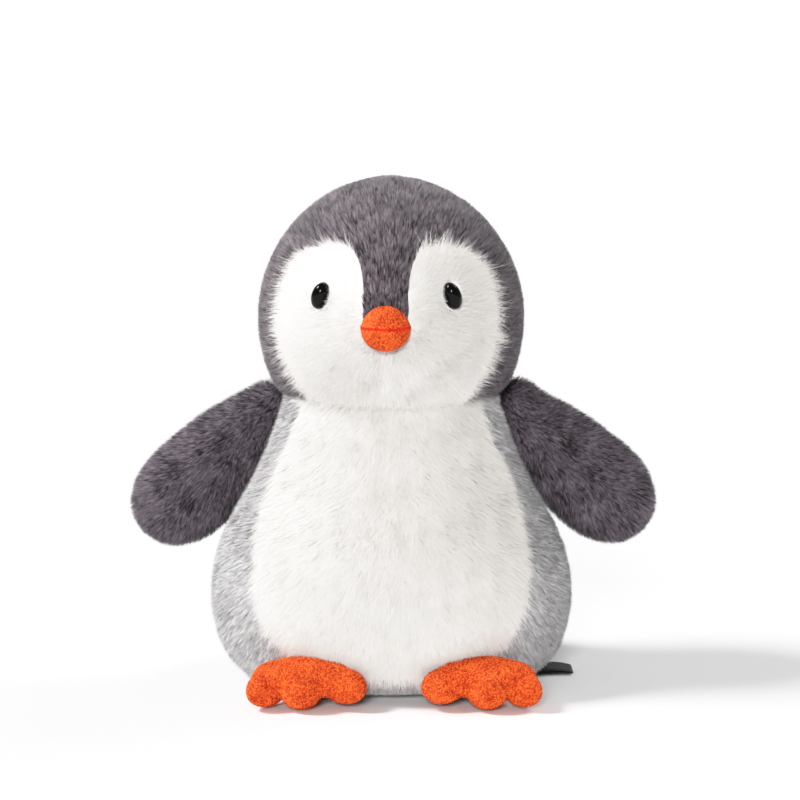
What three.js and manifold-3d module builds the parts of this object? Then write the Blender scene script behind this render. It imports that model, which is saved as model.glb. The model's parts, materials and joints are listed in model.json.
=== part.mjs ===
// Plush penguin chick, sitting upright. Millimetres, +Z up. The penguin faces -Y and its left side
// is +X. The origin is on the floor, under the middle of the body's flat base.
import * as THREE from "three";
import { mergeVertices } from "three/addons/utils/BufferGeometryUtils.js";
import Module from "manifold-3d";

const wasm = await Module();
wasm.setup();

// ---------- driving dimensions ----------

const PLUSH_CLOTH = 3; // knitted backing and the dense lower half of the pile
const TERRY_CLOTH = 1.5; // cloth of the beak and feet
const GAP = 0.4; // clearance between touching pieces
const NECK_Z = 126; // height of the neck seam
const BODY_DEPTH = 0.86; // body depth over body width
const BODY_LEAN = 0.05; // how far each level of the body sits forward, over its half width
const HEAD_DEPTH = 0.95; // head depth over head width
const CROWN_SEAM_Y = 8; // seam between the crown and the back of the head

// Half width of the body at each height, from the base to past the neck seam, where it is cut.
const BODY_PROFILE = [
  [0, 0], [50, 0], [60.5, 3], [72.8, 14], [77.9, 29], [78.4, 45], [75, 60], [68.8, 73], [61.6, 86],
  [55.3, 99], [50.1, 112], [45.6, NECK_Z], [43.2, NECK_Z + 8], [0, NECK_Z + 8],
];

// Half width of the head at each height, from below the neck seam, where it is cut, to the top.
const HEAD_PROFILE = [
  [0, NECK_Z - 7], [39, NECK_Z - 7], [45.4, NECK_Z + 1], [51.2, 134], [55.8, 145], [58, 160],
  [57.2, 173], [54.4, 184], [49, 195], [40.6, 206], [28.4, 215.8], [13, 222.2], [0, 224],
];
const HEAD_TURN = -2.2; // degrees about Z: the head is sewn on looking a little to its right

// Half width of a flipper at each distance from its shoulder pivot, out to the tip.
const FLIPPER_PROFILE = [
  [0, -8.6], [6, -6], [8.6, 0], [13, 9], [17, 21], [20, 35], [20.8, 48], [19.2, 60], [14.6, 70],
  [8, 77], [0, 79.5],
];
const FLIPPER_DEPTH = 0.46; // flipper thickness over its width
const FLIPPER_DROOP = 39.5; // degrees below level
const SHOULDER = { x: 56.5, y: 13, z: 117 };

// tilt is the degrees the top of each eye leans inward.
const EYE = {
  x: 27.8, z: 174, tilt: 11, halfWidth: 4.7, halfHeight: 6, dome: 4.2, shank: 2, length: 12,
};
const WASHER = { radius: 6, depth: 5.2, thickness: 1.6 };

// Half size of the beak at each distance from its root, as a share of its largest half size.
const BEAK_PROFILE = [
  [0, -6], [0.97, -6], [1, 4], [0.97, 9], [0.85, 13.5], [0.62, 17], [0.3, 19.2], [0, 20],
];
const BEAK = { z: 160.5, halfWidth: 10.4, halfHeight: 9.5, rootY: -50.5, seamZ: 161 };

const FOOT_SEAM_Z = 10; // seam between a foot's upper and its sole
const FOOT_CLEARANCE = 3; // room between a foot and the belly for the foot to tip up
const FLOOR_CLEARANCE = 0.4;
const FOOT_X = { left: 40, right: -37 };
// The lumps a foot is stuffed into, outward from its middle line: the ball and three toes.
const FOOT_LUMPS = [
  { out: -1, y: -65, z: 13.4, rx: 20.5, ry: 13, rz: 8, splay: 0 },
  { out: -17, y: -70, z: 12, rx: 8.4, ry: 10.5, rz: 7.7, splay: -40 },
  { out: 2, y: -71, z: 9.6, rx: 9.2, ry: 11, rz: 9.2, splay: 0 },
  { out: 15.5, y: -70, z: 8.2, rx: 7.2, ry: 11.5, rz: 7.8, splay: 32 },
];

const PELLET_BAG = { z: 17, rx: 38, ry: 30, rz: 12.5, cloth: 1 };

const LABEL = { x: 60, y: -1, z: 0.9, length: 23, width: 16, cloth: 0.6, opening: 2.2, clearance: 2 };

const BODY_SIDES = 24;
const SMALL_SIDES = 16;
const LUMP_SIDES = 12;
const FAR = 400; // beyond the whole object, for cutting tools

// ---------- solids ----------

function solid(geometry) {
  const bare = geometry.clone();
  bare.deleteAttribute("normal");
  bare.deleteAttribute("uv");
  const merged = mergeVertices(bare, 1e-4);
  return new wasm.Manifold(new wasm.Mesh({
    numProp: 3,
    vertProperties: merged.attributes.position.array,
    triVerts: new Uint32Array(merged.index.array),
  }));
}

function geometryOf(manifold) {
  const mesh = manifold.getMesh();
  const geometry = new THREE.BufferGeometry();
  geometry.setAttribute("position", new THREE.BufferAttribute(mesh.vertProperties, 3));
  geometry.setIndex(new THREE.BufferAttribute(mesh.triVerts, 1));
  const flat = geometry.toNonIndexed();
  flat.computeVertexNormals();
  return flat;
}

function place(manifold, matrix) {
  return manifold.transform(matrix.elements.slice());
}

function box(low, high) {
  const size = low.map((v, i) => high[i] - v);
  const block = new THREE.BoxGeometry(...size);
  block.translate(...low.map((v, i) => v + size[i] / 2));
  return solid(block);
}

const above = (z) => box([-FAR, -FAR, z], [FAR, FAR, FAR]);
const below = (z) => box([-FAR, -FAR, -FAR], [FAR, FAR, z]);
const behind = (y) => box([-FAR, y, -FAR], [FAR, FAR, FAR]);
const ahead = (y) => box([-FAR, -FAR, -FAR], [FAR, y, FAR]);
const halfSpace = (side) => (side > 0
  ? box([GAP / 2, -FAR, -FAR], [FAR, FAR, FAR])
  : box([-FAR, -FAR, -FAR], [-GAP / 2, FAR, FAR]));

function ellipsoid(rx, ry, rz, sides) {
  const ball = new THREE.SphereGeometry(1, sides, sides / 2);
  ball.rotateX(Math.PI / 2);
  ball.scale(rx, ry, rz);
  return solid(ball);
}

// A rod along Y from `from` to `to`.
function rod(radius, from, to) {
  const cylinder = new THREE.CylinderGeometry(radius, radius, to - from, SMALL_SIDES);
  cylinder.translate(0, (from + to) / 2, 0);
  return solid(cylinder);
}

// An outline grown by `distance` to the right of the way it runs, with its corners kept sharp.
function offset(points, distance) {
  const count = points.length;
  const sideways = (from, to) => new THREE.Vector2(to.y - from.y, from.x - to.x).normalize();
  return points.map((point, i) => {
    const before = points[(i + count - 1) % count];
    const after = points[(i + 1) % count];
    const normal = before.distanceTo(point) > 1e-6 ? sideways(before, point) : sideways(point, after);
    const corner = normal.clone().add(sideways(point, after)).normalize();
    return point.clone().addScaledVector(corner, distance / corner.dot(normal));
  });
}

// A turned form round Z through [half width, height] points that start and end on the axis,
// pulled in by `inset` all round.
function turned(profile, inset, sides) {
  const right = profile.map(([r, z]) => new THREE.Vector2(r, z));
  const left = right.slice(1, -1).reverse().map((p) => new THREE.Vector2(-p.x, p.y));
  const pulled = offset([...right, ...left], -inset).slice(0, right.length);
  const low = pulled[0].y;
  const high = pulled[pulled.length - 1].y;
  const inner = pulled.slice(1, -1).filter((p) => p.x > 0.5 && p.y < high + 1e-6 && p.y > low - 1e-6);
  const lathe = new THREE.LatheGeometry(
    [new THREE.Vector2(0, low), ...inner, new THREE.Vector2(0, high)], sides);
  lathe.rotateX(Math.PI / 2);
  return lathe;
}

// ---------- outlines, cut from the front ----------

function frontCutter(points) {
  const block = new THREE.ExtrudeGeometry(new THREE.Shape(points), { depth: FAR, bevelEnabled: false });
  block.rotateX(Math.PI / 2);
  return solid(block);
}

// The belly: square at the neck, widest low down and round at the bottom. Runs anticlockwise.
function bellyOutline() {
  const half = [[46, 21], [56, 34], [60, 52], [59, 74], [52, 95], [45, 112], [38, NECK_Z + 4]];
  const left = half.slice().reverse().map(([x, z]) => [-x, z]);
  const curve = new THREE.SplineCurve(
    [...left, [-32, 14], [0, 9], [32, 14], ...half].map(([x, z]) => new THREE.Vector2(x, z)));
  return curve.getPoints(30);
}

// One cheek of the face, from the middle line outward. Its lobe round the eye rises beside the
// brow, and its lower edge is the neck seam. Runs anticlockwise on the left, clockwise on the right.
function cheekOutline(side) {
  const at = (x, z) => [side * x, z];
  const shape = new THREE.Shape();
  shape.moveTo(...at(0, NECK_Z - 4));
  shape.lineTo(...at(33, NECK_Z - 4));
  shape.bezierCurveTo(...at(41, 133), ...at(49.5, 148), ...at(49.5, 162));
  shape.bezierCurveTo(...at(49.5, 182), ...at(41, 197.5), ...at(25, 197.5));
  shape.bezierCurveTo(...at(14, 197.5), ...at(9.6, 190), ...at(9.6, 178));
  shape.lineTo(...at(9.6, 165));
  shape.lineTo(...at(0, 158));
  return shape.getPoints(5);
}

// ---------- the object ----------

const PLUSH = { roughness: 0.95, metalness: 0 };
const MATERIALS = {
  slate: { color: 0x55505a, ...PLUSH },
  silver: { color: 0xb4b4b8, ...PLUSH },
  white: { color: 0xf4f2ee, ...PLUSH },
  orange: { color: 0xe2541c, ...PLUSH },
  filling: { color: 0xf8f8f8, ...PLUSH },
  cotton: { color: 0xe6dfd2, ...PLUSH },
  pellets: { color: 0xd8dde2, roughness: 0.5, metalness: 0 },
  eye: { color: 0x060606, roughness: 0.06, metalness: 0 },
  washer: { color: 0xdadada, roughness: 0.4, metalness: 0 },
  ribbon: { color: 0x1c1a1c, roughness: 0.45, metalness: 0 },
};
const SIDES = [["left", 1], ["right", -1]];

const penguin = new THREE.Group();
const body = new THREE.Group();
const head = new THREE.Group();
head.rotation.z = THREE.MathUtils.degToRad(HEAD_TURN);
penguin.add(body, head);

function add(group, name, manifold, material) {
  const mesh = new THREE.Mesh(
    geometryOf(manifold), new THREE.MeshStandardMaterial(MATERIALS[material]));
  mesh.name = name;
  group.add(mesh);
}

// ----- body: a belly, two panels round the sides and back, a base, filling and a pellet bag -----

// The body's outer form, pulled in by `inset`: an upright oval that leans forward as it widens.
function bodyForm(inset) {
  const lathe = turned(BODY_PROFILE, inset, BODY_SIDES);
  const position = lathe.attributes.position;
  for (let i = 0; i < position.count; i++) {
    const x = position.getX(i);
    const y = position.getY(i);
    position.setY(i, BODY_DEPTH * y - BODY_LEAN * Math.hypot(x, y));
  }
  return solid(lathe).intersect(below(NECK_Z));
}

// The pellet bag is a flat cushion low in the body, so that the penguin sits upright.
function bagForm(inset) {
  const { z, rx, ry, rz } = PELLET_BAG;
  return ellipsoid(rx - inset, ry - inset, rz - inset, SMALL_SIDES).translate([0, 0, z]);
}

function buildBody() {
  const cover = bodyForm(0).subtract(bodyForm(PLUSH_CLOTH));
  const walls = cover.intersect(above(PLUSH_CLOTH + GAP));
  add(body, "belly_panel", walls.intersect(frontCutter(bellyOutline())), "white");
  const aroundBelly = walls.subtract(frontCutter(offset(bellyOutline(), GAP)));
  for (const [name, side] of SIDES) {
    add(body, `side_back_panel_${name}`, aroundBelly.intersect(halfSpace(side)), "silver");
  }
  add(body, "base_panel", bodyForm(0).intersect(below(PLUSH_CLOTH)), "silver");

  const bagRoom = bagForm(-GAP).add(bagForm(-GAP).translate([0, 0, -8]));
  add(body, "body_filling", bodyForm(PLUSH_CLOTH + GAP).subtract(bagRoom), "filling");
  const bag = bagForm(0).subtract(bagForm(PELLET_BAG.cloth));
  add(body, "pellet_bag_upper", bag.intersect(above(PELLET_BAG.z + GAP)), "cotton");
  add(body, "pellet_bag_lower", bag.intersect(below(PELLET_BAG.z)), "cotton");
  add(body, "pellets", bagForm(PELLET_BAG.cloth + GAP), "pellets");
}

// ----- head: two cheeks, a crown with the brow, two back panels, filling, eyes and beak -----

function headForm(inset) {
  const lathe = turned(HEAD_PROFILE, inset, BODY_SIDES);
  lathe.scale(1, HEAD_DEPTH, 1);
  return solid(lathe).intersect(above(NECK_Z + 1));
}

// How far forward the head's surface is at a point seen from the front.
function headFrontY(x, z) {
  const next = HEAD_PROFILE.findIndex(([, height]) => height > z);
  const [r0, z0] = HEAD_PROFILE[next - 1];
  const [r1, z1] = HEAD_PROFILE[next];
  const half = THREE.MathUtils.mapLinear(z, z0, z1, r0, r1);
  return -HEAD_DEPTH * Math.sqrt(half * half - x * x);
}

// A safety eye: a domed button on a shank through the cover, and the washer pressed on inside.
// `room` is the space the two take up in the head.
function eyeSolids(side) {
  const { x, z, halfWidth, halfHeight, dome, shank, length } = EYE;
  const { radius, depth, thickness } = WASHER;
  const y = headFrontY(x, z);
  const outward = new THREE.Vector3(side * x, y / HEAD_DEPTH ** 2, 0).normalize();
  const forward = new THREE.Vector3(0, -1, 0);
  const lean = THREE.MathUtils.degToRad(side * EYE.tilt);
  const turn = new THREE.Quaternion().setFromUnitVectors(forward, outward)
    .multiply(new THREE.Quaternion().setFromAxisAngle(forward, lean));
  const seat = new THREE.Matrix4().makeRotationFromQuaternion(turn).setPosition(side * x, y, z);
  const button = (more) => ellipsoid(halfWidth + more, dome + more, halfHeight + more, SMALL_SIDES)
    .intersect(ahead(1 + more))
    .add(rod(shank + more, 0, length + more));
  const washer = rod(radius, depth, depth + thickness).subtract(rod(shank + GAP, 0, FAR));
  const room = button(GAP).add(rod(radius + GAP, depth - 1.2, depth + thickness + GAP));
  return [button(0), washer, room].map((piece) => place(piece, seat));
}

function beakForm(inset) {
  const { z, halfWidth, halfHeight, rootY } = BEAK;
  const profile = BEAK_PROFILE.map(([share, along]) => [share * halfWidth, along]);
  const lathe = turned(profile, inset, SMALL_SIDES);
  lathe.scale(1, halfHeight / halfWidth, 1);
  lathe.rotateX(Math.PI / 2);
  lathe.translate(0, rootY, z);
  return solid(lathe);
}

function buildHead() {
  const cover = headForm(0).subtract(headForm(PLUSH_CLOTH));
  let front = cover.intersect(ahead(CROWN_SEAM_Y));
  let filling = headForm(PLUSH_CLOTH + GAP);
  for (const [name, side] of SIDES) {
    const [button, washer, room] = eyeSolids(side);
    add(head, `eye_${name}`, button, "eye");
    add(head, `eye_washer_${name}`, washer, "washer");
    front = front.subtract(room);
    filling = filling.subtract(room);
  }
  let crown = front;
  for (const [name, side] of SIDES) {
    const cheek = front.intersect(frontCutter(cheekOutline(side))).intersect(halfSpace(side));
    add(head, `cheek_panel_${name}`, cheek, "white");
    crown = crown.subtract(frontCutter(offset(cheekOutline(side), side * GAP)));
    const back = cover.intersect(behind(CROWN_SEAM_Y + GAP)).intersect(halfSpace(side));
    add(head, `head_back_panel_${name}`, back, "slate");
  }
  add(head, "crown_panel", crown, "slate");
  add(head, "head_filling", filling, "filling");

  const headRoom = headForm(-2 * GAP);
  const skin = beakForm(0).subtract(beakForm(TERRY_CLOTH).add(headRoom));
  add(head, "beak_upper", skin.intersect(above(BEAK.seamZ + GAP)), "orange");
  add(head, "beak_lower", skin.intersect(below(BEAK.seamZ)), "orange");
  add(head, "beak_filling", beakForm(TERRY_CLOTH + GAP).subtract(headRoom), "filling");
}

// ----- flippers: a front and a back round a filling -----

// A flipper stands along Z, rounded about its shoulder pivot, and is then hung from the shoulder.
function flipperForm(inset) {
  const lathe = turned(FLIPPER_PROFILE, inset, SMALL_SIDES);
  const position = lathe.attributes.position;
  for (let i = 0; i < position.count; i++) {
    const half = Math.hypot(position.getX(i), position.getY(i)) || 1;
    const thinning = (FLIPPER_DEPTH * (half + inset) - inset) / half;
    position.setY(i, Math.max(thinning, 0.2) * position.getY(i));
  }
  return solid(lathe);
}

function buildFlipper(name, side) {
  const flipper = new THREE.Group();
  flipper.position.set(SHOULDER.x * side, SHOULDER.y, SHOULDER.z);
  flipper.rotation.y = THREE.MathUtils.degToRad(90 + FLIPPER_DROOP) * side;
  penguin.add(flipper);
  const skin = flipperForm(0).subtract(flipperForm(PLUSH_CLOTH));
  add(flipper, `flipper_front_${name}`, skin.intersect(ahead(-GAP / 2)), "slate");
  add(flipper, `flipper_back_${name}`, skin.intersect(behind(GAP / 2)), "slate");
  add(flipper, `flipper_filling_${name}`, flipperForm(PLUSH_CLOTH + 2 * GAP), "filling");
}

// ----- feet: an upper and a sole round a filling, stuffed into a ball and three toes -----

function footForm(name, side, inset) {
  const lumps = FOOT_LUMPS.map(({ out, y, z, rx, ry, rz, splay }) =>
    ellipsoid(rx - inset, ry - inset, rz - inset, LUMP_SIDES)
      .rotate([0, 0, side * splay])
      .translate([FOOT_X[name] + side * out, y, z]));
  return lumps.reduce((all, lump) => all.add(lump))
    .intersect(above(FLOOR_CLEARANCE + inset))
    .subtract(bodyForm(-FOOT_CLEARANCE - inset));
}

function buildFoot(name, side) {
  const skin = footForm(name, side, 0).subtract(footForm(name, side, TERRY_CLOTH));
  add(penguin, `foot_upper_${name}`, skin.intersect(above(FOOT_SEAM_Z + GAP)), "orange");
  add(penguin, `foot_sole_${name}`, skin.intersect(below(FOOT_SEAM_Z)), "orange");
  add(penguin, `foot_filling_${name}`, footForm(name, side, TERRY_CLOTH + GAP), "filling");
}

// ----- care label: a loop of ribbon sewn into the seam of the base, on the left -----

function buildLabel() {
  const { x, y, z, length, width, cloth, opening, clearance } = LABEL;
  const height = 2 * cloth + opening;
  const foldX = x + length - height / 2;
  const loop = new THREE.Shape();
  loop.moveTo(x, 0);
  loop.absarc(foldX, height / 2, height / 2, -Math.PI / 2, Math.PI / 2, false);
  loop.lineTo(x, height);
  loop.lineTo(x, height - cloth);
  loop.absarc(foldX, height / 2, opening / 2, Math.PI / 2, -Math.PI / 2, true);
  loop.lineTo(x, cloth);
  const ribbon = new THREE.ExtrudeGeometry(loop, { depth: width, bevelEnabled: false, curveSegments: 6 });
  ribbon.rotateX(Math.PI / 2);
  ribbon.translate(0, y + width / 2, z);
  add(penguin, "care_label", solid(ribbon).subtract(bodyForm(-clearance)), "ribbon");
}

buildBody();
buildHead();
for (const [name, side] of SIDES) {
  buildFlipper(name, side);
  buildFoot(name, side);
}
buildLabel();

export default penguin;
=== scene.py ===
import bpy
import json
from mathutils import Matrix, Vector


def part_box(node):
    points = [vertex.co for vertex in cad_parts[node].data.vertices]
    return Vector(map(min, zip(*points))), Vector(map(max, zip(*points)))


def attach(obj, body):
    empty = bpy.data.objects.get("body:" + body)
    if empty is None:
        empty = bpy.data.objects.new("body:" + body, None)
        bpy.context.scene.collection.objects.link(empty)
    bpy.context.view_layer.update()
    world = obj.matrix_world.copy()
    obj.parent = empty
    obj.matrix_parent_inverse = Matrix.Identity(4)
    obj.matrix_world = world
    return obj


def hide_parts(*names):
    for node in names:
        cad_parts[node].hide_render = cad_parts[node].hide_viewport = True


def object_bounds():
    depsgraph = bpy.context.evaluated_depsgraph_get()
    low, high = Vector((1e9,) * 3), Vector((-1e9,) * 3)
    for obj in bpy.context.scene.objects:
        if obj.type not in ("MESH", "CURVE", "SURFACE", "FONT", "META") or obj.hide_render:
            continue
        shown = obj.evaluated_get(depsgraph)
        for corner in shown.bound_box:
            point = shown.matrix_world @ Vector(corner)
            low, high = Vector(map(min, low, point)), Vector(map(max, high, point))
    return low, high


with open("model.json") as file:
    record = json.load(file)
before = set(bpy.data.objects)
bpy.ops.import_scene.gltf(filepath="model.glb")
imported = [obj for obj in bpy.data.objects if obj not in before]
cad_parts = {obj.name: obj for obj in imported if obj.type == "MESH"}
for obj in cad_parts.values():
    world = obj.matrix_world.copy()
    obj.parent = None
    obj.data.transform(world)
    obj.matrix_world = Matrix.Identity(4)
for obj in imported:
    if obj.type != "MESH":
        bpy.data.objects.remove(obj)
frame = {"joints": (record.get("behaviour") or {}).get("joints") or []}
cad_box = [list(corner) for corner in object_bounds()]

import json
import math

import bpy
import numpy as np
from mathutils import Vector

MM = 0.001
UP = np.array([0.0, 0.0, 1.0])
SIDES = (("left", 1), ("right", -1))


# ---------- places taken from the frame ----------

def corners(*nodes):
    """The lowest and highest corners of several CAD nodes together, in millimetres."""
    boxes = [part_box(node) for node in nodes]
    lowest = np.min([low for low, high in boxes], axis=0)
    highest = np.max([high for low, high in boxes], axis=0)
    return lowest / MM, highest / MM


def joint_place(name):
    """Where a joint turns, in millimetres."""
    found = next(joint for joint in frame["joints"] if joint["name"] == name)
    return np.array(found["pos_m"]) / MM


def middle_of(*nodes):
    """The middle of the box round several CAD nodes."""
    return sum(corners(*nodes)) / 2


torso_low, torso_high = corners("side_back_panel_left", "side_back_panel_right", "base_panel", "belly_panel")
head_low, head_high = corners("crown_panel", "head_back_panel_left", "head_back_panel_right",
                              "cheek_panel_left", "cheek_panel_right")
HALF_BODY = (torso_high[0] - torso_low[0]) / 2
HALF_HEAD = (head_high[0] - head_low[0]) / 2
NECK_Z = torso_high[2]
HEAD_TALL = head_high[2] - head_low[2]


# ---------- smooth lines and turned forms ----------

def smooth_line(points, step, easing=0):
    """A Catmull-Rom line through the points, sampled about every step and eased that many times."""
    p = np.asarray(points, float)
    p = np.vstack([2 * p[0] - p[1], p, 2 * p[-1] - p[-2]])
    line = []
    for a, b, c, d in zip(p[:-3], p[1:-2], p[2:-1], p[3:]):
        count = max(1, int(np.linalg.norm(c - b) / step))
        t = np.linspace(0, 1, count, endpoint=False)[:, None]
        line.append(0.5 * (2 * b + (c - a) * t + (2 * a - 5 * b + 4 * c - d) * t ** 2
                           + (3 * b - a - 3 * c + d) * t ** 3))
    line = np.vstack(line + [p[-2:-1]])
    for _ in range(easing):
        line[1:-1] = (line[:-2] + 2 * line[1:-1] + line[2:]) / 4
    return line


def pole_to_pole(points, step, easing=0):
    """A smooth profile of (half width, along) points that starts and ends exactly on the axis."""
    line = smooth_line(points, step, easing)
    line[0, 0] = line[-1, 0] = 0
    return line


def turned(profile, columns, depth=1.0, lean=0.0):
    """Points and triangles of a form turned about Z from (half width, height) points.

    depth is the share of the width that the form is deep, and lean moves wide rows towards the front."""
    line = profile[profile[:, 0] > 1e-6]
    turn = np.linspace(0, 2 * math.pi, columns, endpoint=False)
    radius, height = line[:, :1], line[:, 1:]
    x = radius * np.cos(turn)
    y = depth * radius * np.sin(turn) - lean * radius
    z = height + 0 * x
    points = np.stack([x, y, z], axis=2).reshape(-1, 3)
    rows = len(line)
    here = np.arange(rows * columns).reshape(rows, columns)
    right = np.roll(here, -1, axis=1)
    a, b, c, d = here[:-1], right[:-1], right[1:], here[1:]
    triangles = [np.stack([a, b, c], 2).reshape(-1, 3), np.stack([a, c, d], 2).reshape(-1, 3)]
    for end, row, order in ((0, 0, 1), (-1, rows - 1, -1)):
        pole = len(points)
        points = np.vstack([points, [0, 0, profile[end, 1]]])
        fan = np.stack([np.full(columns, pole), right[row], here[row]], 1)
        triangles.append(fan[:, ::order])
    return points, np.vstack(triangles)


def half_circle(count):
    """The profile of a ball of radius 1, from its lowest point to its highest."""
    arc = np.linspace(0, math.pi, count)
    return np.stack([np.sin(arc), -np.cos(arc)], 1)


def normals_of(points, triangles):
    """The way out of the skin at each point."""
    corner = points[triangles]
    face = np.cross(corner[:, 1] - corner[:, 0], corner[:, 2] - corner[:, 0])
    total = np.zeros_like(points)
    for k in range(3):
        np.add.at(total, triangles[:, k], face)
    return total / np.maximum(np.linalg.norm(total, axis=1, keepdims=True), 1e-12)


def unit(v):
    return v / np.maximum(np.linalg.norm(v, axis=-1, keepdims=True), 1e-9)


def turning(angle, first, second):
    """A matrix that turns row vectors by an angle, from one axis towards another."""
    turn = np.eye(3)
    turn[first, first] = turn[second, second] = math.cos(angle)
    turn[first, second] = math.sin(angle)
    turn[second, first] = -math.sin(angle)
    return turn


def eased(share):
    """A share between 0 and 1 that starts and ends gently."""
    share = np.clip(share, 0, 1)
    return share * share * (3 - 2 * share)


# ---------- panels ----------

def edge_distance(x, z, outline):
    """Signed distance from points to a closed outline in the XZ plane, positive inside."""
    p = np.stack([x, z], 1)[:, None]
    a = np.asarray(outline)[None]
    b = np.roll(a, -1, axis=1)
    along = np.clip(((p - a) * (b - a)).sum(2) / ((b - a) ** 2).sum(2), 0, 1)
    near = np.linalg.norm(p - a - along[..., None] * (b - a), axis=2).min(1)
    crossing = ((a[..., 1] > p[..., 1]) != (b[..., 1] > p[..., 1]))
    rise = b[..., 1] - a[..., 1]
    level = a[..., 0] + (p[..., 1] - a[..., 1]) * (b[..., 0] - a[..., 0]) / np.where(rise == 0, 1, rise)
    inside = (crossing & (p[..., 0] < level)).sum(1) % 2 == 1
    return np.where(inside, near, -near)


def clipped(points, triangles, value):
    """The part of a mesh where value is positive, cut exactly where it is zero."""
    inside = value > 0
    count = inside[triangles].sum(1)

    def starting_at(found, first):
        start = np.argmax(first[found], axis=1)
        return found[np.arange(len(found))[:, None], (start[:, None] + np.arange(3)) % 3]

    def crossing(a, b):
        share = (value[a] / (value[a] - value[b]))[:, None]
        return points[a] + share * (points[b] - points[a])

    one = starting_at(triangles[count == 1], inside)
    two = starting_at(triangles[count == 2], ~inside)
    cuts = [crossing(one[:, 0], one[:, 1]), crossing(one[:, 0], one[:, 2]),
            crossing(two[:, 1], two[:, 0]), crossing(two[:, 2], two[:, 0])]
    starts = len(points) + np.cumsum([0] + [len(c) for c in cuts])
    first = [np.arange(len(c)) + s for c, s in zip(cuts, starts)]
    kept = np.vstack([
        triangles[count == 3],
        np.stack([one[:, 0], first[0], first[1]], 1),
        np.stack([first[2], two[:, 1], two[:, 2]], 1),
        np.stack([first[2], two[:, 2], first[3]], 1),
    ])
    everything = np.vstack([points, *cuts])
    _, pick, same = np.unique(np.round(everything[:, :3], 4), axis=0, return_index=True, return_inverse=True)
    kept = same.reshape(-1)[kept]
    whole = (kept[:, 0] != kept[:, 1]) & (kept[:, 1] != kept[:, 2]) & (kept[:, 2] != kept[:, 0])
    kept = kept[whole]
    used, kept = np.unique(kept, return_inverse=True)
    return everything[pick][used], kept.reshape(-1, 3)


def thickened(points, triangles, thickness):
    """A closed panel of cloth: the skin, its inner face and its cut edge."""
    inner = points[:, :3] - thickness * points[:, 3:6]
    n = len(points)
    edges = np.vstack([triangles[:, [0, 1]], triangles[:, [1, 2]], triangles[:, [2, 0]]])
    _, index, uses = np.unique(np.sort(edges, 1), axis=0, return_index=True, return_counts=True)
    rim = edges[index[uses == 1]]
    walls = np.vstack([np.stack([rim[:, 1], rim[:, 0], rim[:, 0] + n], 1),
                       np.stack([rim[:, 1], rim[:, 0] + n, rim[:, 1] + n], 1)])
    return np.vstack([points[:, :3], inner]), np.vstack([triangles, triangles[:, ::-1] + n, walls])


def new_object(name, points, triangles, materials):
    """A mesh object from points in millimetres."""
    mesh = bpy.data.meshes.new(name)
    mesh.vertices.add(len(points))
    mesh.vertices.foreach_set("co", (np.asarray(points) * MM).astype(np.float32).ravel())
    mesh.loops.add(3 * len(triangles))
    mesh.loops.foreach_set("vertex_index", triangles.astype(np.int32).ravel())
    mesh.polygons.add(len(triangles))
    mesh.polygons.foreach_set("loop_start", np.arange(0, 3 * len(triangles), 3, dtype=np.int32))
    mesh.polygons.foreach_set("use_smooth", np.ones(len(triangles), bool))
    mesh.update(calc_edges=True)
    for material in materials:
        mesh.materials.append(material)
    thing = bpy.data.objects.new(name, mesh)
    bpy.context.scene.collection.objects.link(thing)
    return thing


# ---------- pile ----------

def waves(points, size, seed):
    """Smooth noise between about -1 and 1 with features of about `size` millimetres."""
    rng = np.random.default_rng(seed)
    total = 0
    for _ in range(6):
        way = unit(rng.normal(size=3)) * (2 * math.pi / size) * rng.uniform(0.45, 1.3)
        total = total + np.sin(points @ way + rng.uniform(0, 6.28))
    return total / 2.4


def scattered(skin, density, rng):
    """Random spots on a skin: their places, the way out of the skin, and their distance from its edge."""
    points, triangles = skin
    corner = points[triangles]
    area = np.linalg.norm(np.cross(corner[:, 1, :3] - corner[:, 0, :3],
                                   corner[:, 2, :3] - corner[:, 0, :3]), axis=1) / 2
    reach = np.cumsum(area)
    count = int(density * reach[-1])
    pick = np.searchsorted(reach, rng.uniform(0, reach[-1], count)).clip(0, len(area) - 1)
    u, v = np.sqrt(rng.uniform(size=count)), rng.uniform(size=count)
    share = np.stack([1 - u, u * (1 - v), u * v], 1)[..., None]
    spot = (corner[pick] * share).sum(1)
    return spot[:, :3], unit(spot[:, 3:6]), spot[:, 6]


def in_tones(thing, mix, tones, faces_each=1):
    """Gives the faces of each strand or loop one of the tones, an equal share to each tone."""
    steps = np.quantile(mix, np.linspace(0, 1, len(tones) + 1)[1:-1])
    tone = np.searchsorted(steps, mix).astype(np.int32)
    thing.data.polygons.foreach_set("material_index", np.repeat(tone, faces_each))


def in_cubes(points, size):
    """A whole number for the small cube that each point is in."""
    strides = np.array([1, 1009, 1018081])
    return np.floor(points / size).astype(np.int64) @ strides


def one_in_each_cube(points, size):
    """The index of one point from each small cube that holds any."""
    return np.unique(in_cubes(points, size), return_index=True)[1]


def in_patches(points, size, seed):
    """The number of the small patch that each point falls in. Patches have wavy borders."""
    bend = np.stack([waves(points, 5 * size, seed + k) for k in range(3)], 1)
    return np.unique(in_cubes(points + 0.5 * size * bend, size), return_inverse=True)[1].reshape(-1)


HEM_HEIGHT = 3.0  # the lowest that strands reach over the floor
EDGE_REACH = 6.0  # how far from a panel's edge its strands start to lie over the next panel
ROOT_DEPTH = 0.3  # how far strands start below the skin


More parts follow.
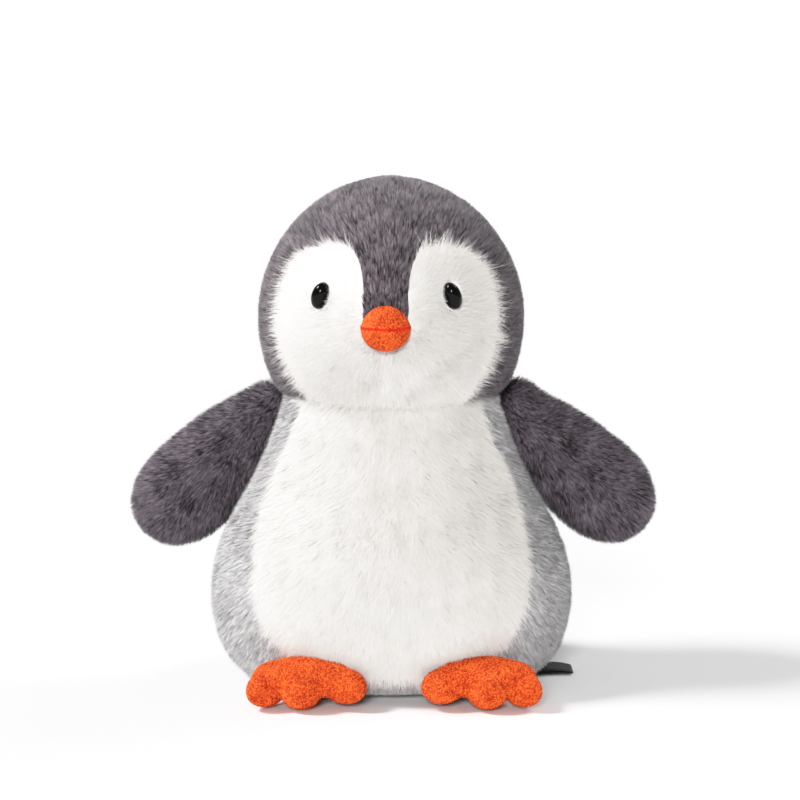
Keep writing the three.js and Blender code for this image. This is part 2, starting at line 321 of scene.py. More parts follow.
def pile(name, skin, comb, tones, seed, density=9.0, length=6.0, width=0.26, lift=44, edge_lift=22,
         edge_length=8.5, keep=None, ruffle=0.2, tuft=0.8, clump=0.3, patchy=0.3, rough=0.3):
    """Strands of plush pile on a skin, as one mesh of tapered blades.

    comb gives the way each root is brushed. lift is the angle off the skin in degrees, and falls to
    edge_lift near the panel's edge, where the strands lie over the next panel. Tips gather by clump
    towards the middle of tufts of size tuft. tones are materials from dark to light, patchy is how
    far they follow soft patches, and rough how unevenly the strands catch the light."""
    rng = np.random.default_rng(seed)
    root, out, edge = scattered(skin, density, rng)
    if keep is not None:
        chosen = keep(root)
        root, out, edge = root[chosen], out[chosen], edge[chosen]
    count = len(root)
    way = comb(root)
    way = unit(way - (way * out).sum(1, keepdims=True) * out)
    side = np.cross(out, way)
    swing = ruffle * (waves(root, 22, seed + 1) + 0.6 * waves(root, 8, seed + 2))
    swing = (swing + rng.normal(0, 0.2, count))[:, None]
    way = way * np.cos(swing) + side * np.sin(swing)
    inner = np.clip(edge / EDGE_REACH, 0, 1)
    rise = edge_lift + (lift - edge_lift) * inner + rng.normal(0, 8, count) + 5 * waves(root, 9, seed + 3)
    rise = np.radians(np.clip(rise, 6, 85))[:, None]
    uneven = rng.uniform(0.62, 1.12, count) ** (2 - inner)
    long = (edge_length + (length - edge_length) * inner) * uneven
    heading = way * np.cos(rise) + out * np.sin(rise)
    tip = root + long[:, None] * heading
    group = in_patches(root, tuft, seed + 4)
    centre = np.stack([np.bincount(group, tip[:, k]) for k in range(3)], 1) / np.bincount(group)[:, None]
    gather = (clump + (0.6 - clump) * (1 - inner))[:, None]
    tip += gather * (centre[group] - tip)
    tip[:, 2] = np.maximum(tip[:, 2], HEM_HEIGHT)
    heading = unit(tip - root)
    roll = rng.normal(0, 0.6, count)[:, None]
    face = out * np.cos(roll) + side * np.sin(roll)
    across = unit(np.cross(heading, face)) * (width * rng.uniform(0.7, 1.3, count))[:, None] / 2
    base = root - ROOT_DEPTH * out
    blades = np.stack([base - across, base + across, tip], 1).reshape(-1, 3)
    thing = new_object(name, blades, np.arange(3 * count).reshape(-1, 3), tones)
    tuft_tone = rng.normal(size=count)[group]
    shade = unit(out + rough * rng.normal(size=(count, 3))[group] + 0.5 * rough * rng.normal(size=(count, 3)))
    normals = thing.data.attributes.new("custom_normal", "FLOAT_VECTOR", "POINT")
    normals.data.foreach_set("vector", np.repeat(shade, 3, axis=0).astype(np.float32).ravel())
    in_tones(thing, patchy * waves(root, 12, seed + 8) + 0.8 * tuft_tone + rng.normal(0, 0.5, count), tones)
    return thing


def terry(name, skin, tones, seed, spacing=0.72, loop=(0.52, 0.32, 0.5), keep=None):
    """The loops of terry cloth over a skin, as one mesh of small domes laid in all directions.

    loop is a dome's half length, half breadth and height."""
    rng = np.random.default_rng(seed)
    root, out, _ = scattered(skin, 12 / spacing ** 2, rng)
    if keep is not None:
        chosen = keep(root)
        root, out = root[chosen], out[chosen]
    chosen = one_in_each_cube(root, spacing)
    root, out = root[chosen], out[chosen]
    count = len(root)
    along = unit(np.cross(out, rng.normal(size=(count, 3))))
    across = np.cross(out, along)
    size = rng.uniform(0.8, 1.25, count)[:, None]
    length, breadth, height = loop
    dome = []
    for radius, rise in ((1.0, -0.35), (0.78, 0.55)):
        for angle in np.arange(6) * math.pi / 3:
            dome.append(root + size * (radius * length * math.cos(angle) * along
                                       + radius * breadth * math.sin(angle) * across
                                       + rise * height * out))
    dome.append(root + size * height * out)
    ring = np.arange(6)
    after = (ring + 1) % 6
    pattern = np.vstack([np.stack([ring, after, after + 6], 1),
                         np.stack([ring, after + 6, ring + 6], 1),
                         np.stack([ring + 6, after + 6, np.full(6, 12)], 1)])
    faces = (len(dome) * np.arange(count)[:, None, None] + pattern).reshape(-1, 3)
    thing = new_object(name, np.stack(dome, 1).reshape(-1, 3), faces, tones)
    in_tones(thing, 0.3 * waves(root, 9, seed + 8) + rng.normal(0, 0.8, count), tones, len(pattern))
    return thing


# ---------- materials ----------

def plain(name, colour, roughness=0.85, specular=0.2, sheen=0.0):
    material = bpy.data.materials.new(name)
    material.use_nodes = True
    shader = material.node_tree.nodes["Principled BSDF"]
    shader.inputs["Base Color"].default_value = (*colour, 1)
    shader.inputs["Roughness"].default_value = roughness
    shader.inputs["Specular IOR Level"].default_value = specular
    shader.inputs["Sheen Weight"].default_value = sheen
    shader.inputs["Sheen Roughness"].default_value = 0.5
    return material


def tones(name, dark, light, count=5, **finish):
    """Materials for the strands of one pile, from dark to light."""
    dark, light = np.array(dark), np.array(light)
    return [plain(f"{name}_{k}", dark + (light - dark) * k / (count - 1), **finish) for k in range(count)]


def cloth(name, dark, light, grain=1.2, bump=0.25, roughness=0.9):
    """Knitted backing: a fine knit with faint blotches. grain is the size of a stitch in millimetres."""
    material = plain(name, light, roughness)
    tree = material.node_tree
    shader = tree.nodes["Principled BSDF"]
    place = tree.nodes.new("ShaderNodeTexCoord")
    noise = tree.nodes.new("ShaderNodeTexNoise")
    noise.inputs["Scale"].default_value = 1 / (8 * grain * MM)
    noise.inputs["Detail"].default_value = 5
    ramp = tree.nodes.new("ShaderNodeValToRGB")
    ramp.color_ramp.elements[0].position = 0.3
    ramp.color_ramp.elements[0].color = (*dark, 1)
    ramp.color_ramp.elements[1].position = 0.7
    ramp.color_ramp.elements[1].color = (*light, 1)
    knit = tree.nodes.new("ShaderNodeTexVoronoi")
    knit.inputs["Scale"].default_value = 1 / (grain * MM)
    relief = tree.nodes.new("ShaderNodeBump")
    relief.inputs["Strength"].default_value = bump
    relief.inputs["Distance"].default_value = 0.0004
    for texture in (noise, knit):
        tree.links.new(place.outputs["Object"], texture.inputs["Vector"])
    tree.links.new(noise.outputs["Fac"], ramp.inputs["Fac"])
    tree.links.new(ramp.outputs["Color"], shader.inputs["Base Color"])
    tree.links.new(knit.outputs["Distance"], relief.inputs["Height"])
    tree.links.new(relief.outputs["Normal"], shader.inputs["Normal"])
    return material


def glossy(name, colour, roughness, specular=0.35):
    """Moulded plastic with a faint haze."""
    material = plain(name, colour, roughness, specular)
    tree = material.node_tree
    place = tree.nodes.new("ShaderNodeTexCoord")
    noise = tree.nodes.new("ShaderNodeTexNoise")
    noise.inputs["Scale"].default_value = 220
    spread = tree.nodes.new("ShaderNodeMapRange")
    spread.inputs["To Min"].default_value = 0.6 * roughness
    spread.inputs["To Max"].default_value = 1.6 * roughness
    tree.links.new(place.outputs["Object"], noise.inputs["Vector"])
    tree.links.new(noise.outputs["Fac"], spread.inputs["Value"])
    tree.links.new(spread.outputs["Result"], tree.nodes["Principled BSDF"].inputs["Roughness"])
    return material


SLATE = tones("slate_pile", (0.007, 0.0055, 0.0075), (0.27, 0.225, 0.252), count=6, sheen=0.2)
WING = tones("wing_pile", (0.005, 0.0038, 0.0055), (0.272, 0.225, 0.266), count=6, sheen=0.25)
SILVER = tones("silver_pile", (0.40, 0.388, 0.396), (0.97, 0.955, 0.96), sheen=0.1)
WHITE = tones("white_pile", (0.93, 0.897, 0.855), (0.98, 0.957, 0.925), count=3)
ORANGE = tones("orange_terry", (0.40, 0.028, 0.004), (0.95, 0.155, 0.027), count=6, roughness=0.8)
RED = tones("red_terry", (0.55, 0.012, 0.003), (0.84, 0.03, 0.006), count=3, roughness=0.8)
slate_cloth = cloth("slate_cloth", (0.030, 0.024, 0.031), (0.070, 0.057, 0.067))
silver_cloth = cloth("silver_cloth", (0.38, 0.38, 0.39), (0.56, 0.56, 0.57))
white_cloth = cloth("white_cloth", (0.84, 0.82, 0.79), (0.93, 0.915, 0.895))
orange_cloth = cloth("orange_cloth", (0.42, 0.035, 0.005), (0.66, 0.08, 0.012), grain=0.9)
cotton = cloth("cotton_cloth", (0.66, 0.61, 0.52), (0.82, 0.77, 0.68), grain=0.7)
fibre = cloth("filling_fibre", (0.78, 0.78, 0.78), (0.93, 0.93, 0.92), grain=0.5, bump=0.7)
satin = cloth("label_satin", (0.016, 0.014, 0.016), (0.030, 0.027, 0.030), grain=0.35, bump=0.12,
              roughness=0.42)
pellet_plastic = glossy("pellet_plastic", (0.74, 0.78, 0.80), 0.35)
washer_plastic = glossy("washer_plastic", (0.74, 0.74, 0.73), 0.4)
eye_plastic = glossy("eye_plastic", (0.0015, 0.0015, 0.0015), 0.11, 0.14)


# ---------- skins ----------

FAR = 50.0  # further from a seam than any strand feels


def skinned(points, triangles):
    """A skin: points with the way out and a column for the distance from a seam, and triangles."""
    return np.hstack([points, normals_of(points, triangles), np.full((len(points), 1), FAR)]), triangles


def cut(skin, value, near=None):
    """The panel where value is positive. near is the distance to the seams that strands lie across."""
    points, triangles = skin
    points = points.copy()
    if near is not None:
        points[:, 6] = near
    return clipped(points, triangles, value)


# ---------- body ----------

# The body's half width and height from the floor to the neck, stretched to the CAD body.
BODY_LINE = pole_to_pole([(r * HALF_BODY / 78.4, z * NECK_Z / 126) for r, z in (
    (0, 0.3), (30, 0.3), (50, 0.4), (60.5, 3), (71.5, 12.5), (77.4, 28), (77.9, 45), (74.4, 60),
    (68.2, 73), (61, 86), (54.6, 99), (49.5, 112), (45.8, 123), (44, 128), (36, 130), (0, 131))], 1.6)
BASE_SEAM = 3.0


def belly_edge():
    """The belly panel seen from the front. It runs on under the head."""
    right = [(25.5, 15.5), (42.5, 23.5), (53.5, 35), (57.5, 52), (56, 74), (49.5, 95), (42.5, 112),
             (37.5, 126), (35.5, 134)]
    left = [(-x, z) for x, z in right[::-1]]
    return smooth_line([(0, 13.5), *right, (0, 140), *left, (0, 13.5)], 3)[:-1]


def inside_edge(x, y, z, outline):
    """Distance inside an outline seen from the front, for points on the front half."""
    return np.where(y < 0, edge_distance(x, z, outline), -FAR)


body_skin = skinned(*turned(BODY_LINE, 200, 0.86, 0.05))
bx, by, bz = body_skin[0][:, :3].T
belly_in = inside_edge(bx, by, bz, belly_edge())
belly = cut(body_skin, belly_in, belly_in)
around = cut(body_skin, np.minimum(-belly_in, bz - BASE_SEAM), -belly_in)
flanks = {name: cut(around, around[0][:, 0] * side) for name, side in SIDES}
base = cut(body_skin, BASE_SEAM - bz)


def down(root, fan=240):
    """Brushed down, and spreading from the middle plane by 1 in `fan` millimetres."""
    return -UP + root * np.array([1, 0, 0]) / fan


def belly_comb(root):
    return down(root, 120)


# ---------- head ----------

# The head's half width and height, stretched to the CAD head. Its lowest rows sink into the body.
HEAD_LINE = pole_to_pole([(r * HALF_HEAD / 58.8, head_low[2] + (z - 127) * HEAD_TALL / 97.8) for r, z in (
    (0, 121), (30, 121.5), (41, 123.5), (46.2, 127.5), (51.3, 134), (55.6, 145), (57.6, 160), (56.6, 173),
    (53.6, 184), (48, 195), (39.4, 206), (27.4, 215), (13.5, 221.2), (0, 223.2))], 1.6, 14)
HEAD_DEPTH = 0.95

WASHER_DEPTH = 6.0
washers = {name: middle_of(f"eye_washer_{name}") for name, _ in SIDES}
beak_spot = middle_of("beak_upper", "beak_lower")
face_middle = (washers["left"] + washers["right"]) / 2
FACE_TURN = math.atan2(face_middle[0], -face_middle[1])


def faced(points, back=False):
    """Points of a head that looks straight ahead, turned the way the penguin looks, or back again."""
    return points @ turning(-FACE_TURN if back else FACE_TURN, 0, 1)


def through_skin(washer):
    """The level way out of the head at an eye, where the face is a little flatter than round."""
    flatness = 0.9
    return unit(washer * np.array([1, 1 / flatness, 0]))


def cheek_edge(side):
    """One cheek seen from the front, pulled in from where its strands end."""
    inner = [(-2, 114), (-2, 158), (6.5, 160), (9.4, 165), (9.4, 176), (10.6, 185), (13.6, 191),
             (18.5, 193.6)]
    outer = [(25, 193.4), (31, 192), (35.8, 189.6), (39.8, 185.6), (42.8, 180), (44.8, 172.5), (46, 162),
             (44.5, 150), (39.5, 139.5), (33.5, 131), (28, 124)]
    return smooth_line([*inner, *outer, (24, 114), (-2, 114)], 2.5)[:-1] * np.array([side, 1])


head_skin = skinned(*turned(HEAD_LINE, 180, HEAD_DEPTH))
hx, hy, hz = head_skin[0][:, :3].T
cheek_in = {name: inside_edge(hx, hy, hz, cheek_edge(side)) for name, side in SIDES}
face_in = np.maximum(cheek_in["left"], cheek_in["right"])
crown_seam = (corners("head_back_panel_left")[0][1] + corners("head_back_panel_right")[0][1]) / 2
over_neck = hz - head_low[2]
cheeks = {name: cut(head_skin, np.minimum(cheek_in[name], hx * side), np.minimum(cheek_in[name], over_neck))
          for name, side in SIDES}


def fringe(cheek, side):
    """The rim of a cheek away from the beak, where longer strands lie over the dark panels."""
    rim, from_middle = 3.5, 12
    return cut(cheek, np.minimum(rim - cheek[0][:, 6], cheek[0][:, 0] * side - from_middle))


fringes = {name: fringe(cheeks[name], side) for name, side in SIDES}
crown = cut(head_skin, np.minimum(-face_in, crown_seam - hy), over_neck)
back = cut(head_skin, hy - crown_seam, over_neck)
backs = {name: cut(back, back[0][:, 0] * side) for name, side in SIDES}


EYE_HALF_WIDTH = 3.8
EYE_HALF_HEIGHT = 6.0
EYE_TILT = math.radians(20)
BEAK_ROOT = np.array([9.2, 8.6])  # half width and half height of the bare skin under the beak


def eye_gap(root):
    """Distance from the middle of the nearest eye, in eye sizes, and the way out from that eye."""
    best = np.full(len(root), FAR)
    way = np.zeros_like(root)
    bare = np.array([EYE_HALF_WIDTH, EYE_HALF_HEIGHT - 0.2])
    for name, _ in SIDES:
        washer = faced(washers[name], back=True)
        from_eye = root - washer - WASHER_DEPTH * through_skin(washer)
        size = np.linalg.norm(from_eye[:, [0, 2]] / bare, axis=1)
        nearer = (size < best) & (root[:, 1] < 0)
        best = np.where(nearer, size, best)
        way = np.where(nearer[:, None], unit(from_eye), way)
    return best, way


MUZZLE = np.array([0, -52, 163])  # the strands of the face part here
CHIN = np.array([0, -52, 125])  # the dark strands of the head run away from here


def face_comb(root):
    """Brushed away from the beak, out to the sides and down, and away from the eyes close to them."""
    flow = unit(root - MUZZLE) - 0.2 * UP
    gap, way = eye_gap(root)
    close = 0.8 * np.clip((1.9 - gap) / 0.9, 0, 1)[:, None]
    return flow * (1 - close) + way * close


def head_comb(root):
    """Brushed up the brow and away from the face, then down the back."""
    fall = eased((root[:, 1:2] + 8) / 40)
    return unit(root - CHIN) * (1 - fall) - UP * fall


def clear_of_face(root):
    """True away from the eyes and the beak's root."""
    gap, _ = eye_gap(root)
    beak = (root - beak_spot[2] * UP)[:, [0, 2]] / BEAK_ROOT
    return (gap > 1) & ((np.linalg.norm(beak, axis=1) > 1) | (root[:, 1] > 0))


# ---------- flippers ----------

# A flipper's half width and the distance from its shoulder, from the root inside the seam to the tip.
FLIPPER_LINE = pole_to_pole([
    (0, -11.5), (5, -11.2), (8, -9), (10.4, -4.5), (12.6, 1), (14.8, 7), (16.8, 14), (18.8, 23), (20, 35),
    (20.8, 48), (19.4, 60), (15.2, 69), (9, 75), (0, 77.4)], 1.2)
FLIPPER_DEPTH = 0.44
# How far the root bends up towards the head.
FLIPPER_ROOT_RISE = {"left": 4.0, "right": 1.8}
# Degrees below level, and length over the pattern's: one flipper hangs a little lower and shorter.
FLIPPER_HANG = {"left": (41.7, 1.0), "right": (44.0, 0.99)}


def flipper_form(name, side):
    """The whole skin of a flipper, hung from its shoulder."""
    droop, long = FLIPPER_HANG[name]
    points, triangles = turned(FLIPPER_LINE * np.array([1, long]), 96, FLIPPER_DEPTH)
    points[:, 0] -= side * FLIPPER_ROOT_RISE[name] * eased((8 - points[:, 2]) / 18)
    hung = points @ turning(math.radians(90 + droop) * side, 2, 0) + joint_place(f"flipper_lift_{name}")
    return skinned(hung, triangles)


def flipper_skins(name, side):
    """The front and back panels of a flipper."""
    skin = flipper_form(name, side)
    behind = skin[0][:, 1] - joint_place(f"flipper_lift_{name}")[1]
    return cut(skin, -behind), cut(skin, behind)


def flipper_comb(name, side):
    """Brushed from the shoulder to the tip and out to the edges."""
    shoulder = joint_place(f"flipper_lift_{name}")
    droop = math.radians(FLIPPER_HANG[name][0])
    tipward = np.array([side * math.cos(droop), 0, -math.sin(droop)])

    def comb(root):
        from_axis = root - shoulder
        from_axis = from_axis - (from_axis @ tipward)[:, None] * tipward
        return tipward + from_axis / 45

    return comb


# ---------- feet and beak ----------

# For each lump: its middle (outwards from the foot's own middle, y, z), its three half sizes, and its
# splay in degrees.
FOOT_LUMPS = ((-1, -65, 13.2, 20.3, 12.8, 7.6, 0), (-17.5, -70, 9.8, 7.9, 10.8, 7.2, -40),
              (1, -72, 9.4, 9.1, 11, 8.7, 0), (15.5, -70, 8.6, 6.9, 11.2, 7.3, 32),
              (-10.5, -67, 12.2, 12, 10.5, 7.4, -20), (9.5, -67, 12, 12.5, 10.5, 7.6, 15))


def mesh_of(thing):
    """Points in millimetres and triangles of an object with its modifiers applied, which is then removed."""
    thing.modifiers.new("triangles", "TRIANGULATE")
    done = thing.evaluated_get(bpy.context.evaluated_depsgraph_get()).to_mesh()
    places = np.zeros(3 * len(done.vertices))
    done.vertices.foreach_get("co", places)
    corner = np.zeros(len(done.loops), np.int32)
    done.loops.foreach_get("vertex_index", corner)
    bpy.data.objects.remove(thing)
    return places.reshape(-1, 3) / MM, corner.reshape(-1, 3)


SOLE_HEIGHT = 0.9  # the terry on the sole fills the rest of the way to the floor


def foot_skin(name, side):
    """One smooth skin round a foot's ball and its three toes."""
    middle = joint_place(f"foot_tip_{name}")[0]
    ball, order = turned(half_circle(25), 40)
    points, triangles = [], []
    for k, (out, y, z, rx, ry, rz, splay) in enumerate(FOOT_LUMPS):
        lump = (ball * np.array([rx, ry, rz])) @ turning(math.radians(side * splay), 0, 1)
        points.append(lump + np.array([middle + side * out, y, z]))
        triangles.append(order + k * len(ball))
    thing = new_object("lumps", np.vstack(points), np.vstack(triangles), [])
    remesh = thing.modifiers.new("one skin", "REMESH")
    remesh.mode = "VOXEL"
    remesh.voxel_size = 0.8 * MM
    smooth = thing.modifiers.new("soft valleys", "SMOOTH")
    smooth.factor = 0.5
    smooth.iterations = 6
    points, triangles = mesh_of(thing)
    points[:, 2] = np.maximum(points[:, 2], SOLE_HEIGHT)
    return skinned(points, triangles)


def beak_skin():
    """The beak's skin, creased along its seam."""
    low, high = corners("beak_upper", "beak_lower")
    seam = corners("beak_lower")[1][2]
    half_width, half_height = (high[0] - low[0]) / 2 - 0.3, (high[2] - low[2]) / 2 - 0.3
    line = pole_to_pole([(r * half_width, along) for r, along in (
        (0, -6), (0.9, -5.9), (1.0, 3), (0.98, 8), (0.88, 12.5), (0.68, 16), (0.4, 18.5), (0, 19.4))], 0.5)
    points, triangles = turned(line, 80)
    across, rise, along = points.T
    lobe = np.where(rise > 0, 1 - 0.18 * (np.abs(across) / half_width) ** 3, 1.0)
    placed = np.stack([across, low[1] + 20 - along, rise * lobe * half_height / half_width], 1)
    placed[:, 2] += (low[2] + high[2]) / 2
    placed[:, 1] += 0.9 * np.exp(-((placed[:, 2] - seam) / 0.9) ** 2)
    return skinned(placed, triangles)


def strip(path, width, thickness):
    """A flat ribbon of a width along a path of (x, z) points, as a closed band."""
    path = smooth_line(path, 0.8)
    across = np.linspace(-width / 2, width / 2, 9)
    rows, columns = len(path), len(across)
    x, z = np.repeat(path, columns, axis=0).T
    points = np.stack([x, np.tile(across, rows), z], 1)
    here = np.arange(rows * columns).reshape(rows, columns)
    a, b, c, d = here[:-1, :-1], here[:-1, 1:], here[1:, 1:], here[1:, :-1]
    triangles = np.vstack([np.stack([a, c, b], 2).reshape(-1, 3), np.stack([a, d, c], 2).reshape(-1, 3)])
    return thickened(*skinned(points, triangles), thickness)


# ---------- make the plush ----------

def made(thing, body, slot, *nodes):
    """Puts a piece on its body, in place of its CAD nodes. slot is not used."""
    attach(thing, body)
    if nodes:
        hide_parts(*nodes)
    return thing


def panel(name, skin, material, body, node, slot, thickness=1.4):
    """The cloth of one panel, padded by the fibre behind it."""
    thing = made(new_object(name, *thickened(*skin, thickness), [material]), body, slot, node)
    return thing


def sewn_pair(skin, lower_node):
    """A skin cut level with the top of its lower panel, into the panels above and below that seam."""
    above = skin[0][:, 2] - corners(lower_node)[1][2]
    return cut(skin, above), cut(skin, -above)


def filling(name, skin, inset, body, node):
    """Loose fibre stuffed inside a skin: a lumpy closed form a little smaller than its cover."""
    points, triangles = skin
    lumps = inset + 0.7 * waves(points[:, :3], 14, len(name)) + 0.3 * waves(points[:, :3], 5, len(name) + 1)
    inner = points[:, :3] - lumps[:, None] * points[:, 3:6]
    thing = made(new_object(name, inner, triangles, [fibre]), body, "polyester_filling", node)
    return thing


def face_forward(thing):
    """Turns a finished head piece the way the penguin looks."""
    mesh = thing.data
    layers = [(mesh.vertices, "co")]
    if "custom_normal" in mesh.attributes:
        layers.append((mesh.attributes["custom_normal"].data, "vector"))
    for layer, key in layers:
        values = np.zeros(3 * len(layer), np.float32)
        layer.foreach_get(key, values)
        layer.foreach_set(key, faced(values.reshape(-1, 3)).astype(np.float32).ravel())
    mesh.update()
    return thing


def make_body():
    panel("belly_skin", belly, white_cloth, "torso", "belly_panel", "white_plush")
    panel("base_skin", base, silver_cloth, "torso", "base_panel", "silver_plush")
    made(pile("belly_pile", belly, belly_comb, WHITE, 11, density=12.4, length=6.5, lift=36, ruffle=0.1,
              clump=0.1, rough=0.05), "torso", "white_plush")
    for name, side in SIDES:
        panel(f"flank_skin_{name}", flanks[name], silver_cloth, "torso", f"side_back_panel_{name}",
              "silver_plush")
        made(pile(f"flank_pile_{name}", flanks[name], down, SILVER, 21 + side, density=9.5, length=5.0,
                  width=0.245, lift=48, edge_lift=40, edge_length=6.0, tuft=0.7, clump=0.42, patchy=0.15,
                  rough=0.3), "torso", "silver_plush")
    filling("body_fibre", body_skin, 3.6, "torso", "body_filling")


PELLET_RADIUS = 1.55
PELLET_SPACING = 3.4


def make_pellets():
    """The weighted bag in the base: two cotton panels and the plastic pellets inside."""
    low, high = corners("pellet_bag_lower", "pellet_bag_upper")
    middle, half = (low + high) / 2, (high - low) / 2
    ball, order = turned(half_circle(40), 64)
    pucker = 1 + 0.012 * np.sin(24 * np.arctan2(ball[:, 1], ball[:, 0])) * np.exp(-(ball[:, 2] / 0.3) ** 2)
    skin = skinned(ball * pucker[:, None] * half + middle, order)
    for part, piece in zip(("upper", "lower"), sewn_pair(skin, "pellet_bag_lower")):
        panel(f"bag_{part}", piece, cotton, "torso", f"pellet_bag_{part}", "cotton_bag", 0.6)
    rng = np.random.default_rng(5)
    spots = rng.uniform(-1, 1, (9000, 3))
    spots = spots[np.linalg.norm(spots, axis=1) < 0.93] * (half - 2)
    spots = spots[one_in_each_cube(spots, PELLET_SPACING)]
    bead, faces = turned(half_circle(6) * np.array([PELLET_RADIUS, 1.2]), 8)
    beads = spots[:, None] + middle + bead
    order = faces + len(bead) * np.arange(len(spots))[:, None, None]
    made(new_object("loose_pellets", beads.reshape(-1, 3), order.reshape(-1, 3), [pellet_plastic]), "torso",
         "plastic_pellets", "pellets")


def make_head():
    for name, side in SIDES:
        face_forward(panel(f"cheek_skin_{name}", cheeks[name], white_cloth, "head", f"cheek_panel_{name}",
                           "white_plush"))
        face_forward(made(pile(f"cheek_pile_{name}", cheeks[name], face_comb, WHITE, 31 + side, density=13,
                               keep=clear_of_face, length=5.0, lift=52, edge_length=7.0, clump=0.15,
                               rough=0.07), "head", "white_plush"))
        face_forward(made(pile(f"cheek_fringe_{name}", fringes[name], face_comb, WHITE, 35 + side,
                               density=2.6, keep=clear_of_face, length=9.0, width=0.22, lift=30, edge_lift=36,
                               edge_length=9.5, ruffle=0.55, tuft=0.5, clump=0, rough=0.2),
                          "head", "white_plush"))
        face_forward(panel(f"head_back_skin_{name}", backs[name], slate_cloth, "head",
                           f"head_back_panel_{name}", "slate_plush"))
        face_forward(made(pile(f"head_back_pile_{name}", backs[name], head_comb, SLATE, 41 + side, density=10,
                               length=4.8, width=0.23, lift=52, tuft=0.85, clump=0.5), "head", "slate_plush"))
    face_forward(panel("crown_skin", crown, slate_cloth, "head", "crown_panel", "slate_plush"))
    face_forward(made(pile("crown_pile", crown, head_comb, SLATE, 51, density=12, keep=clear_of_face,
                           length=4.4, width=0.22, lift=56, edge_length=5.0, tuft=0.85, clump=0.5),
                      "head", "slate_plush"))
    face_forward(filling("head_fibre", head_skin, 3.6, "head", "head_filling"))


# An eye from its back to the top of its dome: the share of its half width, and millimetres forward.
EYE_LINE = pole_to_pole([(0, -1.0), (0.9, -1.0), (1.0, -0.3), (0.98, 0.8), (0.86, 2.3), (0.6, 3.5),
                         (0.3, 4.1), (0, 4.25)], 0.12)
EYE_PROUD = 0.6  # how far an eye's rim stands out of the skin


def make_eyes():
    """A domed button and its washer for each eye, square to the face and leaning in at the top."""
    for name, side in SIDES:
        points, triangles = turned(EYE_LINE, 56)
        x, y, z = points.T
        button = np.stack([EYE_HALF_WIDTH * x, -z, EYE_HALF_HEIGHT * y], 1)
        out = through_skin(washers[name])
        facing_out = np.stack([np.cross(-out, UP), -out, UP])
        placed = (button @ turning(side * EYE_TILT, 0, 2)) @ facing_out
        placed += washers[name] + (WASHER_DEPTH + EYE_PROUD) * out
        made(new_object(f"button_{name}", placed, triangles, [eye_plastic]), "head", "eye_plastic",
             f"eye_{name}")
        bpy.data.objects[f"eye_washer_{name}"].material_slots[0].material = washer_plastic


def make_flippers():
    for name, side in SIDES:
        body = f"flipper_{name}"
        for face, skin in zip(("front", "back"), flipper_skins(name, side)):
            panel(f"flipper_{face}_skin_{name}", skin, slate_cloth, body, f"flipper_{face}_{name}",
                  "slate_plush")
            made(pile(f"flipper_{face}_pile_{name}", skin, flipper_comb(name, side), WING,
                      61 + side + len(face), density=12, length=4.4, width=0.22, lift=50, tuft=0.75,
                      clump=0.45), body, "slate_plush")
        filling(f"flipper_fibre_{name}", flipper_form(name, side), 3.4, body, f"flipper_filling_{name}")


def make_feet():
    for name, side in SIDES:
        body = f"foot_{name}"
        skin = foot_skin(name, side)
        for part, piece in zip(("upper", "sole"), sewn_pair(skin, f"foot_sole_{name}")):
            panel(f"foot_{part}_skin_{name}", piece, orange_cloth, body, f"foot_{part}_{name}",
                  "orange_terry", 0.8)
            made(terry(f"foot_{part}_terry_{name}", piece, ORANGE, 71 + side + len(part)), body,
                 "orange_terry")
        filling(f"foot_fibre_{name}", skin, 2.2, body, f"foot_filling_{name}")


SEAM_HALF_WIDTH = 0.6  # half the height of the red seam round the beak


def make_beak():
    skin = beak_skin()
    seam = corners("beak_lower")[1][2]

    def off_seam(root):
        return np.abs(root[:, 2] - seam) > SEAM_HALF_WIDTH

    def on_seam(root):
        return np.abs(root[:, 2] - seam) < SEAM_HALF_WIDTH

    for part, piece in zip(("upper", "lower"), sewn_pair(skin, "beak_lower")):
        face_forward(panel(f"beak_{part}_skin", piece, orange_cloth, "head", f"beak_{part}", "orange_terry",
                           0.8))
        face_forward(made(terry(f"beak_{part}_terry", piece, ORANGE, 81 + len(part), keep=off_seam), "head",
                          "orange_terry"))
    face_forward(made(terry("beak_seam", skin, RED, 91, spacing=0.6, loop=(0.6, 0.34, 0.6), keep=on_seam),
                      "head", "orange_terry"))
    face_forward(filling("beak_fibre", skin, 2.2, "head", "beak_filling"))


def make_label():
    """A blank loop of satin ribbon, folded at its free end."""
    low, high = corners("care_label")
    x0, x1, z0 = low[0] - 1.5, high[0] - 0.6, low[2]
    path = [(x0, z0 + 1.2), (x0 + 6, z0 + 1.7), (x0 + 13, z0 + 2.0), (x1 - 5, z0 + 1.7), (x1 - 0.7, z0 + 0.9),
            (x1, z0 + 0.5), (x1 - 0.8, z0 + 0.1), (x1 - 5, z0), (x0 + 11, z0 - 0.2), (x0 + 4, z0),
            (x0, z0 + 0.7)]
    points, triangles = strip(path, high[1] - low[1], 0.35)
    points[:, 1] += (low[1] + high[1]) / 2
    made(new_object("ribbon_loop", points, triangles, [satin]), "label", "label_ribbon", "care_label")


make_body()
make_pellets()
make_head()
make_eyes()
make_flippers()
make_feet()
make_beak()
make_label()


# ---------- light, floor and camera ----------

def aimed(thing, place, aim):
    """Puts a lamp or a camera at a place, looking at another."""
    thing.location = place
    thing.rotation_euler = (Vector(aim) - Vector(place)).to_track_quat("-Z", "Y").to_euler()
    bpy.context.scene.collection.objects.link(thing)


def sun_light(name, source, strength, softness):
    """Even light over the whole floor. source points to where the light comes from."""
    lamp = bpy.data.lights.new(name, "SUN")
    lamp.energy = strength
    lamp.angle = math.radians(softness)
    aimed(bpy.data.objects.new(name, lamp), source, (0, 0, 0))


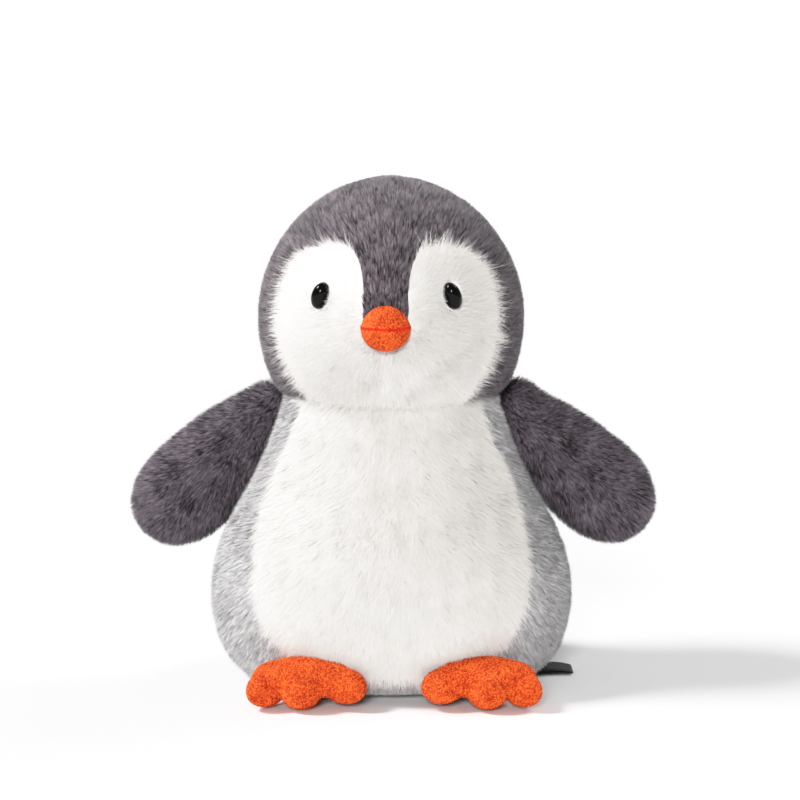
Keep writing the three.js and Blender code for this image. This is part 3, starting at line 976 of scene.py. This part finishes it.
def floor():
    """A plain pale floor, level with the underside of the toy."""
    material = plain("floor_white", (0.94, 0.94, 0.94), roughness=0.7, specular=0.1)
    low, reach = cad_box[0][2], 30
    mesh = bpy.data.meshes.new("floor")
    mesh.from_pydata([(x * reach, y * reach, low) for x, y in ((-1, -1), (1, -1), (1, 1), (-1, 1))], [],
                     [(0, 1, 2, 3)])
    mesh.materials.append(material)
    thing = bpy.data.objects.new("floor", mesh)
    bpy.context.scene.collection.objects.link(thing)


def studio(strength):
    """A white room: white to look at, and gentler as a light."""
    world = bpy.data.worlds.new("studio")
    bpy.context.scene.world = world
    world.use_nodes = True
    tree = world.node_tree
    light = tree.nodes["Background"]
    light.inputs["Strength"].default_value = strength
    backdrop = tree.nodes.new("ShaderNodeBackground")
    light.inputs["Color"].default_value = (1, 1, 1, 1)
    backdrop.inputs["Color"].default_value = (1, 1, 1, 1)
    backdrop.inputs["Strength"].default_value = 2
    rays = tree.nodes.new("ShaderNodeLightPath")
    both = tree.nodes.new("ShaderNodeMixShader")
    tree.links.new(rays.outputs["Is Camera Ray"], both.inputs["Fac"])
    tree.links.new(light.outputs["Background"], both.inputs[1])
    tree.links.new(backdrop.outputs["Background"], both.inputs[2])
    tree.links.new(both.outputs["Shader"], tree.nodes["World Output"].inputs["Surface"])


def film():
    """Rolls bright tones off softly, so that white pile keeps its shading."""
    view = bpy.context.scene.view_settings
    view.view_transform = "Standard"
    view.use_curve_mapping = True
    brightest = 1.42
    response = view.curve_mapping
    response.white_level = (brightest, brightest, brightest)
    response.extend = "HORIZONTAL"
    for light, shown in ((0.25, 0.25), (0.5, 0.5), (0.8, 0.765), (1.0, 0.88), (1.2, 0.955)):
        response.curves[3].points.new(light / brightest, shown)
    response.update()


floor()
studio(0.30)
sun_light("key", (-0.66, -0.04, 0.70), 3.6, 16)
sun_light("rim", (0.55, 0.40, 0.70), 1.0, 24)
sun_light("front", (-0.12, -0.95, 0.34), 2.45, 14)
film()

TARGET = Vector((0.004, 0, 0.1243))
ELEVATION = math.radians(6)
camera = bpy.data.objects.new("camera", bpy.data.cameras.new("camera"))
camera.data.lens = 100
camera.data.sensor_width = 36
camera.data.clip_start = 0.05
aimed(camera, TARGET + Vector((0, -math.cos(ELEVATION), math.sin(ELEVATION))), TARGET)
bpy.context.scene.camera = camera
